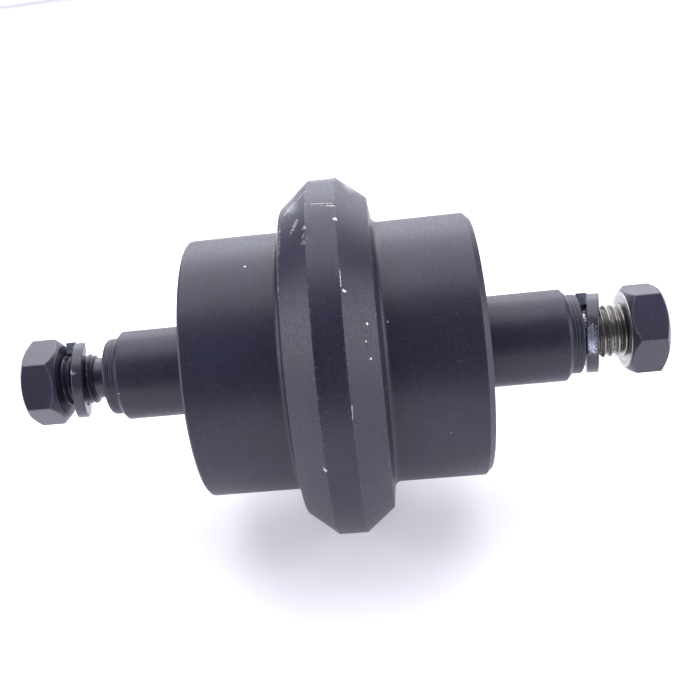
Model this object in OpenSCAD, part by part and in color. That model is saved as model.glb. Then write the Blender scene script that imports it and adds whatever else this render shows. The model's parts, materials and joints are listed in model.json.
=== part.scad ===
// Track roller with a centre flange, on a through shaft that is bolted at both ends.
// Units are millimetres. The shaft lies along Y, with its middle at the origin, and +Z is up.

/* [Roller body] */
// Diameter of the two running treads
tread_d = 100; // [90:1:120]
// Height of the centre flange above the treads
flange_rise = 18; // [12:0.5:24]
// Width of the flat on top of the flange
flange_top_w = 10.4; // [6:0.2:14]
// Height above the treads at which the flange's bevels meet its side faces
shoulder_rise = 9.5; // [5:0.5:11.5]
// Width of the flange between the lower edges of its bevels
flange_shoulder_w = 32; // [24:0.5:33]
// Width of the flange where its side faces meet the root fillets
flange_root_w = 34; // [33:0.5:40]
// Radius of the fillet between flange and tread
root_fillet = 2.2; // [1:0.1:4]
// Width of the roller body over both rims
body_w = 106; // [94:1:136]
// Chamfer on the left rim
rim_chamfer_left = 0.8; // [0.3:0.1:3]
// Chamfer on the right rim
rim_chamfer_right = 2.2; // [0.3:0.1:3]

/* [Shaft] */
// Diameter of the shaft where the bushes and the frame seats run
shaft_d = 35; // [32:1:42]
// Distance between the two shoulders of the shaft
shoulder_span = 172; // [146:1:220]
// Chamfer on the shoulders
shoulder_chamfer = 1.5; // [0.5:0.1:2]
// Diameter of the spigot outside each shoulder
spigot_d = 30; // [28:0.5:31]
// Length of the left spigot
spigot_len_left = 5; // [3.5:0.5:20]
// Length of the right spigot
spigot_len_right = 4.5; // [3.5:0.5:20]
// Edge radius of the left spigot
spigot_edge_left = 2.5; // [1:0.1:2.6]
// Edge radius of the right spigot
spigot_edge_right = 1.5; // [1:0.1:2.6]
// Depth of the tapped hole in each shaft end
tapped_depth = 38; // [36:1:40]
// Diameter of the oil gallery
gallery_d = 6; // [3:0.5:8]

/* [Bushes] */
// Wall of a bush
bush_wall = 4.5; // [2.5:0.5:6]
// Length of a bush over its flange
bush_len = 24; // [16:1:26]
// Thickness of a bush's thrust flange
bush_flange_t = 3; // [2:0.5:5]
// How far a bush's flange stands out past its wall
bush_flange_h = 8; // [6.5:0.5:8]
// Depth of the oil reservoir outside the bush seats
reservoir_depth = 5; // [2:0.5:8]

/* [Seals] */
// Outer diameter of the collar that closes each end of the body
collar_d = 77; // [76:0.5:80]
// Diameter of the collar's hub
collar_hub_d = 49; // [45:0.5:50]
// Thickness of the collar's web
collar_web_t = 2.5; // [2:0.5:3]
// Diameter of both seal cups
cup_d = 70; // [68:0.5:73]
// Cord diameter of the seal's rubber rings
toric_cord = 4.9; // [4:0.1:6]
// Cord diameter of the O-ring between collar and shaft
oring_cord = 2.4; // [2:0.1:3]

/* [Fasteners] */
// Thread diameter of the bolts
bolt_d = 20; // [16:1:24]
// Width across flats of the bolt heads
bolt_flats = 30; // [27:1:32]
// Height of the bolt heads
bolt_head_h = 13.8; // [10:0.2:16]
// Length of a bolt under its head
bolt_len = 40; // [40:1:50]
// Depth, below the crests, of the waist that interrupts the thread
waist_cut = 1.9; // [0.9:0.1:3.9]
// Distance from the head to the waist
waist_start = 13.4; // [8:0.2:16]
// Length of the waist
waist_len = 6; // [2:0.5:8]
// Distance from the left end of the shaft to the underside of its bolt's head
bolt_out_left = 18.9; // [14:0.1:22]
// Distance from the right end of the shaft to the underside of its bolt's head
bolt_out_right = 16.3; // [14:0.1:22]
// Angle of one corner of the left head above the horizontal
left_head_turn = 54; // [0:1:59]
// Angle of one corner of the right head above the horizontal
right_head_turn = 14; // [0:1:59]
// Wall of the spring washers, across the ring
washer_wall = 4.4; // [2.5:0.1:5]
// Thickness of the spring washers
washer_t = 4.2; // [3:0.1:5]
// Axial offset between a spring washer's two ends
washer_rise = 4.2; // [1:0.1:4.4]
// Angle at which the left spring washer leans on its bolt
left_washer_lean = 8; // [0:0.5:9]
// Angle at which the right spring washer leans on its bolt
right_washer_lean = 12; // [0:0.5:12]
// Angle by which the splits of the spring washers are turned back from the top
washer_turn = 23; // [0:1:60]

/* [Hidden] */
// Fits and gaps
running_clearance = 0.05;
thread_clearance = 0.25;
thread_crest_drop = 0.1;
end_play = 0.25;
seal_film = 0.02;
labyrinth = 0.5;
loose_gap = 0.3;
groove_side_gap = 0.4;
// Retaining ring and its groove
circlip_t = 1.5;
circlip_wall = 2.8;
circlip_seat = 1;
circlip_lug_d = 4.4;
circlip_hole_d = 1.8;
// Derived sizes of the body
tread_r = tread_d / 2;
flange_r = tread_r + flange_rise;
shoulder_r = tread_r + shoulder_rise;
half_w = body_w / 2;
shaft_r = shaft_d / 2;
bush_bore_r = shaft_r + running_clearance;
bush_seat_r = bush_bore_r + bush_wall;
bush_flange_r = bush_seat_r + bush_flange_h;
reservoir_r = bush_seat_r + reservoir_depth;
recess_r = collar_d / 2 + labyrinth;
cup_r = cup_d / 2;
// Stations along one half of the shaft, from the middle outwards. Each seal cup is as deep as its
// rubber ring needs.
toric_front_gap = 0.9;
toric_back_gap = 0.2;
cup_depth = toric_front_gap + toric_cord + toric_back_gap;
recess_depth = 3.5;
collar_face = half_w - recess_depth;
web_face = collar_face - collar_web_t;
seal_plane = web_face - cup_depth;
cup_floor = seal_plane - cup_depth;
bush_start = cup_floor - bush_len;
cup_lip = seal_plane - labyrinth;
collar_lip = seal_plane + labyrinth;
half_shoulder = shoulder_span / 2;
left_end = half_shoulder + spigot_len_left;
right_end = half_shoulder + spigot_len_right;
left_head = left_end + bolt_out_left;
right_head = right_end + bolt_out_right;
// Metal seal ring, as radii and distances from the seal plane. It fills the cup inside the cord.
toric_squeeze = 0.03;
toric_r = cup_r - toric_cord / 2 + toric_squeeze;
toric_station = toric_front_gap + toric_cord / 2;
ring_length = cup_depth - 0.9;
ring_ramp_r = cup_r - toric_cord;
ring_tail_r = ring_ramp_r - 0.5;
ring_face_r = ring_ramp_r + 1.4;
ring_bore_r = ring_tail_r - 3;
ring_face_bore_r = ring_bore_r + 1.6;
ring_face_t = 0.8;
// O-ring
oring_squeeze = 0.1;
oring_r = shaft_r - oring_squeeze + oring_cord / 2;
groove_r = oring_r + oring_cord / 2 - oring_squeeze;
oring_station = seal_plane - 1;
groove_half = oring_cord / 2 + groove_side_gap;
// Oil plug
plug_d = 10;
plug_len = 8;
plug_socket = 5;
plug_socket_depth = 4;
// Bolts
crest_r = bolt_d / 2 - thread_crest_drop;
tapped_r = bolt_d / 2 + thread_clearance - thread_crest_drop;
waist_r = crest_r - waist_cut;
mouth_chamfer = 1.2;
head_corner_r = bolt_flats / sqrt(3);
head_top_r = bolt_flats * 0.465;
head_under_r = bolt_flats * 0.485;
tip_chamfer = 1.8;
// Spring washers. Each lies against one face: the left one's head, and the right end of the shaft.
washer_play = 0.8;
washer_gap = 14;
washer_steps = 56;
washer_in_r = bolt_d / 2 + washer_play;
washer_out_r = washer_in_r + washer_wall;
left_washer_station = loose_gap - left_head - min(washer_stations(left_washer_lean));
right_washer_station = right_end + loose_gap - min(washer_stations(-right_washer_lean));

$fn = 96;

// Turns a section of [radius, station] points about the shaft's axis.
module turned() {
    rotate([-90, 0, 0]) rotate_extrude() children();
}

// A cylinder about the shaft's axis, between two stations.
module rod(r, from, to) {
    translate([0, from, 0]) rotate([-90, 0, 0]) cylinder(r = r, h = to - from);
}

// A cone about the shaft's axis, between two stations.
module cone(from, r_from, to, r_to) {
    translate([0, from, 0]) rotate([-90, 0, 0]) cylinder(r1 = r_from, r2 = r_to, h = to - from);
}

// Draws the children on the right, or mirrored on the left.
module on_side(left) {
    if (left) mirror([0, 1, 0]) children();
    else children();
}

// Outline of one half of the roller body, from the middle to one rim.
module shell_half_section(rim_chamfer) {
    difference() {
        union() {
            polygon([[0, 0], [flange_r, 0], [flange_r, flange_top_w / 2],
                [shoulder_r, flange_shoulder_w / 2],
                [tread_r + root_fillet, flange_root_w / 2],
                [tread_r - root_fillet, flange_root_w / 2], [0, flange_root_w / 2]]);
            polygon([[0, 0], [tread_r, 0], [tread_r, half_w - rim_chamfer],
                [tread_r - rim_chamfer, half_w], [0, half_w]]);
            difference() {
                translate([tread_r - root_fillet, flange_root_w / 2 - root_fillet])
                    square([2 * root_fillet, 2 * root_fillet]);
                translate([tread_r + root_fillet, flange_root_w / 2 + root_fillet])
                    circle(r = root_fillet);
            }
        }
        shell_bore_section();
    }
}

// Everything that is bored out of one half of the roller body.
module shell_bore_section() {
    polygon([[-1, -1], [reservoir_r, -1], [reservoir_r, bush_start], [bush_seat_r, bush_start],
        [bush_seat_r, cup_floor - bush_flange_t], [bush_flange_r, cup_floor - bush_flange_t],
        [bush_flange_r, cup_floor], [cup_r, cup_floor], [cup_r, cup_lip],
        [recess_r, cup_lip], [recess_r, half_w + 1], [-1, half_w + 1]]);
}

// Roller body with two treads, a bevelled centre flange and a seal recess in each end.
module roller_shell() {
    color("#4a4956") union() {
        turned() shell_half_section(rim_chamfer_right);
        on_side(true) turned() shell_half_section(rim_chamfer_left);
    }
}

// Outline of one end of the shaft, from the middle to the end face.
module shaft_end_section(end, edge) {
    spigot_r = spigot_d / 2;
    polygon([[0, -0.5], [shaft_r, -0.5], [shaft_r, half_shoulder - shoulder_chamfer],
        [shaft_r - shoulder_chamfer, half_shoulder], [spigot_r, half_shoulder],
        [spigot_r, end - edge], [spigot_r - edge, end - edge], [spigot_r - edge, end], [0, end]]);
    intersection() {
        translate([spigot_r - edge, end - edge]) circle(r = edge);
        translate([spigot_r - edge, end - edge]) square([edge, edge]);
    }
}

// What is cut out of one end of the shaft: tapped hole, its mouth and the ring groove.
module shaft_end_cuts(end) {
    rod(tapped_r, end - tapped_depth, end + 1);
    cone(end - mouth_chamfer, tapped_r, end + 1, tapped_r + mouth_chamfer + 1);
    turned() translate([shaft_r - circlip_seat, collar_face])
        square([circlip_seat + 1, circlip_t]);
}

// Through shaft with a spigot and a tapped hole at each end, and its oil gallery.
module shaft() {
    color("#4c4b58") difference() {
        union() {
            turned() shaft_end_section(right_end, spigot_edge_right);
            on_side(true) turned() shaft_end_section(left_end, spigot_edge_left);
        }
        shaft_end_cuts(right_end);
        on_side(true) shaft_end_cuts(left_end);
        rod(gallery_d / 2, -gallery_d, right_end - tapped_depth);
        rod(plug_d / 2, right_end - tapped_depth - plug_len, right_end - tapped_depth);
        cylinder(d = gallery_d, h = shaft_d + 2, center = true);
    }
}

// Flanged bush, pressed into the body and running on the shaft.
module bush(left) {
    color("#b08d57") on_side(left) turned()
        polygon([[bush_bore_r, bush_start], [bush_seat_r, bush_start],
            [bush_seat_r, cup_floor - bush_flange_t], [bush_flange_r, cup_floor - bush_flange_t],
            [bush_flange_r, cup_floor], [bush_bore_r, cup_floor]]);
}

// Fixed collar on the shaft: hub, web and rim, open towards the seal.
module collar(left) {
    hub_r = collar_hub_d / 2;
    out_r = collar_d / 2;
    color("#55545f") on_side(left) turned() difference() {
        polygon([[shaft_r, cup_floor + end_play], [hub_r, cup_floor + end_play],
            [hub_r, web_face], [cup_r, web_face], [cup_r, collar_lip], [out_r, collar_lip],
            [out_r, collar_face], [shaft_r, collar_face]]);
        translate([shaft_r - 1, oring_station - groove_half])
            square([groove_r - shaft_r + 1, 2 * groove_half]);
    }
}

// External retaining ring with two lugs, in its groove outside the collar.
module retaining_ring(left) {
    in_r = shaft_r - circlip_seat;
    out_r = in_r + circlip_wall;
    lug_angle = 12;
    color("#3c3c40") on_side(left) difference() {
        union() {
            turned() translate([in_r, collar_face]) square([circlip_wall, circlip_t]);
            for (side = [-1, 1])
                rotate([0, side * lug_angle, 0]) translate([0, 0, -out_r])
                    rod(circlip_lug_d / 2, collar_face, collar_face + circlip_t);
        }
        rod(in_r, collar_face - 1, collar_face + circlip_t + 1);
        translate([-circlip_lug_d / 4, collar_face - 1, -out_r - circlip_lug_d])
            cube([circlip_lug_d / 2, circlip_t + 2, out_r]);
        for (side = [-1, 1])
            rotate([0, side * lug_angle, 0]) translate([0, 0, -out_r])
                rod(circlip_hole_d / 2, collar_face - 1, collar_face + circlip_t + 1);
    }
}

// O-ring in the collar's bore, squeezed onto the shaft.
module shaft_oring(left) {
    color("#1d1d1f") on_side(left) turned()
        translate([oring_r, oring_station]) circle(d = oring_cord);
}

// Metal face-seal ring. way is 1 on the fixed side of the seal plane and -1 on the running side.
module seal_ring(left, way) {
    color("#9b9ca1") on_side(left) turned()
        polygon([for (p = [[ring_face_bore_r, seal_film / 2], [ring_face_r, seal_film / 2],
                [ring_face_r, ring_face_t], [ring_ramp_r, ring_face_t],
                [ring_tail_r, ring_length], [ring_bore_r, ring_length],
                [ring_bore_r, 2 * ring_face_t], [ring_face_bore_r, ring_face_t]])
            [p[0], seal_plane + way * p[1]]]);
}

// Rubber ring that carries a face-seal ring in its cup.
module toric(left, way) {
    color("#202022") on_side(left) turned()
        translate([toric_r, seal_plane + way * toric_station]) circle(d = toric_cord);
}

// Socket plug that closes the oil gallery at the bottom of the right tapped hole.
module oil_plug() {
    face = right_end - tapped_depth;
    color("#8a8b90") difference() {
        rod(plug_d / 2, face - plug_len, face);
        translate([0, face - plug_socket_depth, 0]) rotate([-90, 0, 0])
            cylinder(d = plug_socket / cos(30), h = plug_socket_depth + 1, $fn = 6);
    }
}

// Hexagon bolt, with a head that is chamfered at both ends. head is the station of its underside.
module hex_bolt(head, turn) {
    tip = head - bolt_len;
    waist_out = head - waist_start;
    waist_in = waist_out - waist_len;
    top = head + bolt_head_h;
    under_chamfer = (head_corner_r - head_under_r) * tan(42);
    top_chamfer = (head_corner_r - head_top_r) * tan(30);
    union() {
        intersection() {
            translate([0, head, 0]) rotate([0, -turn, 0]) rotate([-90, 0, 0])
                cylinder(r = head_corner_r, h = bolt_head_h, $fn = 6);
            turned() polygon([[0, head], [head_under_r, head],
                [head_corner_r + 0.01, head + under_chamfer],
                [head_corner_r + 0.01, top - top_chamfer], [head_top_r, top], [0, top]]);
        }
        turned() polygon([[0, tip], [crest_r - tip_chamfer, tip], [crest_r, tip + tip_chamfer],
            [crest_r, waist_in], [waist_r, waist_in], [waist_r, waist_out],
            [crest_r, waist_out], [crest_r, head + 1], [0, head + 1]]);
    }
}

// Corner points of a spring washer's section at one step of its turn, before it leans.
function washer_ring(step) =
    let (share = step / washer_steps,
        angle = washer_gap / 2 + share * (360 - washer_gap),
        mid = washer_rise * (0.5 - share))
    [for (c = [[washer_in_r, -1], [washer_out_r, -1], [washer_out_r, 1], [washer_in_r, 1]])
        [c[0] * sin(angle), mid + c[1] * washer_t / 2, c[0] * cos(angle)]];

// Stations of all the corner points of a washer that leans by an angle.
function washer_stations(lean) =
    [for (step = [0 : washer_steps], p = washer_ring(step)) p[0] * sin(lean) + p[1] * cos(lean)];

// Split spring washer: one left-hand turn that starts just past the top.
module spring_washer() {
    last = 4 * washer_steps;
    polyhedron(
        points = [for (step = [0 : washer_steps], p = washer_ring(step)) p],
        faces = concat([[0, 1, 2, 3]], [[last + 3, last + 2, last + 1, last]],
            [for (step = [0 : washer_steps - 1], k = [0 : 3])
                [4 * step + k, 4 * step + 4 + k, 4 * step + 4 + (k + 1) % 4,
                    4 * step + (k + 1) % 4]]));
}

module bush_left() { bush(true); }
module bush_right() { bush(false); }
module collar_left() { collar(true); }
module collar_right() { collar(false); }
module retaining_ring_left() { retaining_ring(true); }
module retaining_ring_right() { retaining_ring(false); }
module shaft_oring_left() { shaft_oring(true); }
module shaft_oring_right() { shaft_oring(false); }
module seal_ring_running_left() { seal_ring(true, -1); }
module seal_ring_running_right() { seal_ring(false, -1); }
module seal_ring_static_left() { seal_ring(true, 1); }
module seal_ring_static_right() { seal_ring(false, 1); }
module toric_running_left() { toric(true, -1); }
module toric_running_right() { toric(false, -1); }
module toric_static_left() { toric(true, 1); }
module toric_static_right() { toric(false, 1); }
module bolt_left() { color("#46454f") on_side(true) hex_bolt(left_head, left_head_turn); }
module bolt_right() { color("#4a4854") hex_bolt(right_head, right_head_turn); }

// The left washer hangs on its bolt and rests against the head.
module spring_washer_left() {
    color("#4b4956") translate([0, left_washer_station, 0])
        rotate([0, -washer_turn, 0]) rotate([0, 0, left_washer_lean]) spring_washer();
}

// The right washer hangs on its bolt and rests against the end of the shaft.
module spring_washer_right() {
    color("#4b4956") translate([0, right_washer_station, 0])
        rotate([0, -washer_turn, 0]) rotate([0, 0, -right_washer_lean]) spring_washer();
}

roller_shell();
shaft();
bush_left();
bush_right();
collar_left();
collar_right();
retaining_ring_left();
retaining_ring_right();
shaft_oring_left();
shaft_oring_right();
seal_ring_running_left();
seal_ring_running_right();
seal_ring_static_left();
seal_ring_static_right();
toric_running_left();
toric_running_right();
toric_static_left();
toric_static_right();
oil_plug();
bolt_left();
bolt_right();
spring_washer_left();
spring_washer_right();
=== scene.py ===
import sys
import json
import logging
import math
from dataclasses import dataclass, field
from enum import Enum
from typing import Any, Callable, Optional, Sequence

import bmesh
import bpy
import numpy as np
from mathutils import Matrix, Vector


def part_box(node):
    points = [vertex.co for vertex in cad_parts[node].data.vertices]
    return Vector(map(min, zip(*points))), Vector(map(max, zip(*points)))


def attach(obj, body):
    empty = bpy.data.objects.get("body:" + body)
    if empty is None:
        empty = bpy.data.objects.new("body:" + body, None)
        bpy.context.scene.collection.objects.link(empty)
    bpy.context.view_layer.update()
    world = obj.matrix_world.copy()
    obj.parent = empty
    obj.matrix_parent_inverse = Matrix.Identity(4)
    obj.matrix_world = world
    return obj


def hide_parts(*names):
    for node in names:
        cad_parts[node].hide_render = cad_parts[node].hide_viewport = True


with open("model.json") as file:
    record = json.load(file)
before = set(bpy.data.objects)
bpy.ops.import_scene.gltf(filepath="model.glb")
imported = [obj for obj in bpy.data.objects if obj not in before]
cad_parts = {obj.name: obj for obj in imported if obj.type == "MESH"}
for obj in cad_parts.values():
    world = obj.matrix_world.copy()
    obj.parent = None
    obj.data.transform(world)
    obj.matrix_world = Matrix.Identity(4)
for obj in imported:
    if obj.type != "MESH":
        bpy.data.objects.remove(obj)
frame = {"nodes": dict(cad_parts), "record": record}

log = logging.getLogger("track_roller")
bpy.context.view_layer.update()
MM = 0.001


class Side(Enum):
    """Which end of the shaft a piece belongs to. The value is the sign of Y there."""

    LEFT = -1
    RIGHT = 1

    @property
    def word(self) -> str:
        """The side's name as it stands in node names."""
        return self.name.lower()


class Mark(Enum):
    """What a point's value says about the surface: bare metal, a rubbed edge, or painted shade in a
    hollow.
    """

    BARE = "bare"
    EDGE = "edge"
    # painted shade: its value darkens inner corners and thread roots
    GRIME = "grime"


# ---------------------------------------------------------------- colours and node trees


def linear(code: str) -> tuple[float, float, float, float]:
    """Turns an sRGB hex colour into linear light.

    Args:
        code: six hex digits, such as "43424f".

    Returns:
        Red, green, blue and an alpha of 1.
    """
    part = np.array([int(code[i:i + 2], 16) for i in (0, 2, 4)]) / 255
    value = np.where(part <= 0.04045, part / 12.92, ((part + 0.055) / 1.055) ** 2.4)
    return (*map(float, value), 1.0)


class Recipe:
    """The node tree of one material."""

    def __init__(self, name: str) -> None:
        """Starts an empty material.

        Args:
            name: the finish's common name.
        """
        self.material = bpy.data.materials.new(name)
        self.material.use_nodes = True
        self.tree = self.material.node_tree
        self.tree.nodes.clear()

    def add(self, kind: str, values: Optional[dict] = None, links: Optional[dict] = None,
            **settings: Any) -> bpy.types.Node:
        """Adds one node with its settings, fixed inputs and links.

        Args:
            kind: Blender's type name of the node.
            values: input name or number, and the value set on it.
            links: input name or number, and the output joined to it.
            settings: attributes set on the node.

        Returns:
            The new node.
        """
        node = self.tree.nodes.new(kind)
        for key, value in settings.items():
            setattr(node, key, value)
        for key, value in (values or {}).items():
            node.inputs[key].default_value = value
        for key, output in (links or {}).items():
            self.tree.links.new(output, node.inputs[key])
        return node

    def math(self, operation: str, *terms: Any) -> Any:
        """Works out one sum.

        Args:
            operation: Blender's name of the operation.
            terms: numbers, or outputs of other nodes.

        Returns:
            The result's output.
        """
        values = {i: t for i, t in enumerate(terms) if isinstance(t, (int, float))}
        links = {i: t for i, t in enumerate(terms) if i not in values}
        return self.add("ShaderNodeMath", values, links, operation=operation).outputs[0]

    def stretch(self, value: Any, start: float, end: float, low: float = 0.0,
                high: float = 1.0) -> Any:
        """Maps a stretch of a value onto another, and holds it at the ends.

        Args:
            value: the output that is mapped.
            start: its value that gives low.
            end: its value that gives high.
            low: result at start.
            high: result at end.

        Returns:
            The result's output.
        """
        return self.add("ShaderNodeMapRange", {1: start, 2: end, 3: low, 4: high},
                        {0: value}).outputs[0]

    def noise(self, mm: Any, size: float, detail: float, roughness: float = 0.5) -> Any:
        """Cloudy noise from 0 to 1.

        Args:
            mm: coordinates in millimetres.
            size: how large the clouds are, in millimetres.
            detail: how many finer octaves there are.
            roughness: how strong the finer octaves are.

        Returns:
            The noise's output.
        """
        return self.add("ShaderNodeTexNoise",
                        {"Scale": 1 / size, "Detail": detail, "Roughness": roughness},
                        {"Vector": mm}).outputs[0]

    def blend(self, share: Any, first: Any, second: Any) -> Any:
        """Blends two colours.

        Args:
            share: output that gives the second colour's share.
            first: a hex colour, or a colour output.
            second: a hex colour, or a colour output.

        Returns:
            The blend's output.
        """
        ends = {6: first, 7: second}
        values = {i: linear(c) for i, c in ends.items() if isinstance(c, str)}
        links = {0: share, **{i: c for i, c in ends.items() if not isinstance(c, str)}}
        return self.add("ShaderNodeMix", values, links, data_type="RGBA").outputs[2]

    def scaled(self, vector: Any, scale: tuple[float, float, float]) -> Any:
        """Multiplies a vector, axis by axis.

        Args:
            vector: the vector's output.
            scale: one factor for each axis.

        Returns:
            The product's output.
        """
        return self.add("ShaderNodeVectorMath", {1: scale}, {0: vector},
                        operation="MULTIPLY").outputs[0]

    def length(self, vector: Any) -> Any:
        """Length of a vector.

        Args:
            vector: the vector's output.

        Returns:
            The length's output.
        """
        return self.add("ShaderNodeVectorMath", {}, {0: vector}, operation="LENGTH").outputs[1]

    def bump(self, height: Any, depth: float) -> Any:
        """Turns a height from 0 to 1 into a relief.

        Args:
            height: the height's output.
            depth: how deep the relief is, in millimetres.

        Returns:
            The normal's output.
        """
        return self.add("ShaderNodeBump", {"Strength": 1.0, "Distance": depth * MM},
                        {"Height": height}).outputs[0]

    def finish(self, values: dict, links: dict) -> bpy.types.Material:
        """Adds the shader and ends the material with it.

        Args:
            values: input name, and the value set on it.
            links: input name, and the output joined to it.

        Returns:
            The material.
        """
        shader = self.add("ShaderNodeBsdfPrincipled", values, links).outputs[0]
        self.add("ShaderNodeOutputMaterial", {}, {"Surface": shader})
        return self.material


# ---------------------------------------------------------------- finishes


@dataclass(frozen=True)
class Scuff:
    """A knock or scrape through the coating, as an ellipsoid that cuts the surface.

    angle is measured from the top towards +X, in degrees. station is along the shaft, and radius is
    from its axis. length, width and depth are half sizes, length lying round the part before tilt
    turns it, in degrees, about the outward direction.
    """

    angle: float
    station: float
    radius: float
    length: float
    width: float
    tilt: float = 0.0
    depth: float = 1.6

    def centre(self) -> tuple[float, float, float]:
        """Where the ellipsoid is.

        Returns:
            Its centre in millimetres.
        """
        turn = math.radians(self.angle)
        return (self.radius * math.sin(turn), self.station, self.radius * math.cos(turn))

    def rotation(self) -> tuple[float, float, float]:
        """How the ellipsoid lies.

        Returns:
            Its Euler angles in radians.
        """
        turn = Matrix.Rotation(math.radians(self.angle), 3, "Y")
        tilt = Matrix.Rotation(math.radians(self.tilt), 3, "Z")
        return tuple((turn @ tilt).to_euler("XYZ"))


@dataclass(frozen=True)
class Finish:
    """A surface made of one real material. Sizes are in millimetres."""

    name: str

    def coordinates(self, recipe: Recipe) -> tuple[Any, Any]:
        """Where a point is on the part.

        Args:
            recipe: the material's tree.

        Returns:
            Coordinates in millimetres, and the distance from the shaft's axis.
        """
        place = recipe.add("ShaderNodeTexCoord").outputs["Object"]
        mm = recipe.scaled(place, (1 / MM, 1 / MM, 1 / MM))
        return mm, recipe.length(recipe.scaled(mm, (1, 0, 1)))

    def reach(self, recipe: Recipe, mm: Any, scuff: Scuff) -> Any:
        """Distance from a scuff's middle, in which its ellipsoid's surface is at 1.

        Args:
            recipe: the material's tree.
            mm: coordinates in millimetres.
            scuff: the knock.

        Returns:
            The distance's output.
        """
        local = recipe.add("ShaderNodeMapping",
                           {"Location": scuff.centre(), "Rotation": scuff.rotation(),
                            "Scale": (scuff.length, scuff.width, scuff.depth)},
                           {"Vector": mm}, vector_type="TEXTURE").outputs[0]
        return recipe.length(local)

    def turning_marks(self, recipe: Recipe, mm: Any, radius: Any, pitch: float) -> Any:
        """Noise that is drawn out round the axis, as a lathe tool leaves it.

        Args:
            recipe: the material's tree.
            mm: coordinates in millimetres.
            radius: distance from the axis in millimetres.
            pitch: how far apart the marks are.

        Returns:
            A value from 0 to 1.
        """
        drawn = recipe.scaled(mm, (0.03, 1 / pitch, 0.03))
        across = recipe.math("MULTIPLY", radius, 1 / pitch)
        return recipe.add("ShaderNodeTexNoise", {"Scale": 1.0, "Detail": 3.0, "Roughness": 0.6},
                          {"Vector": drawn, "W": across}, noise_dimensions="4D").outputs[0]

    def material(self) -> bpy.types.Material:
        """Builds the material.

        Returns:
            The material.
        """
        raise NotImplementedError


@dataclass(frozen=True)
class Wear:
    """Outputs from which the wear of a coat is worked out.

    bare holds the areas stated bare, worn how rubbed the surface is, and ragged and fine are the
    coarse and the fine noise that tear both.
    """

    bare: Any
    worn: Any
    ragged: Any
    fine: Any


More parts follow.
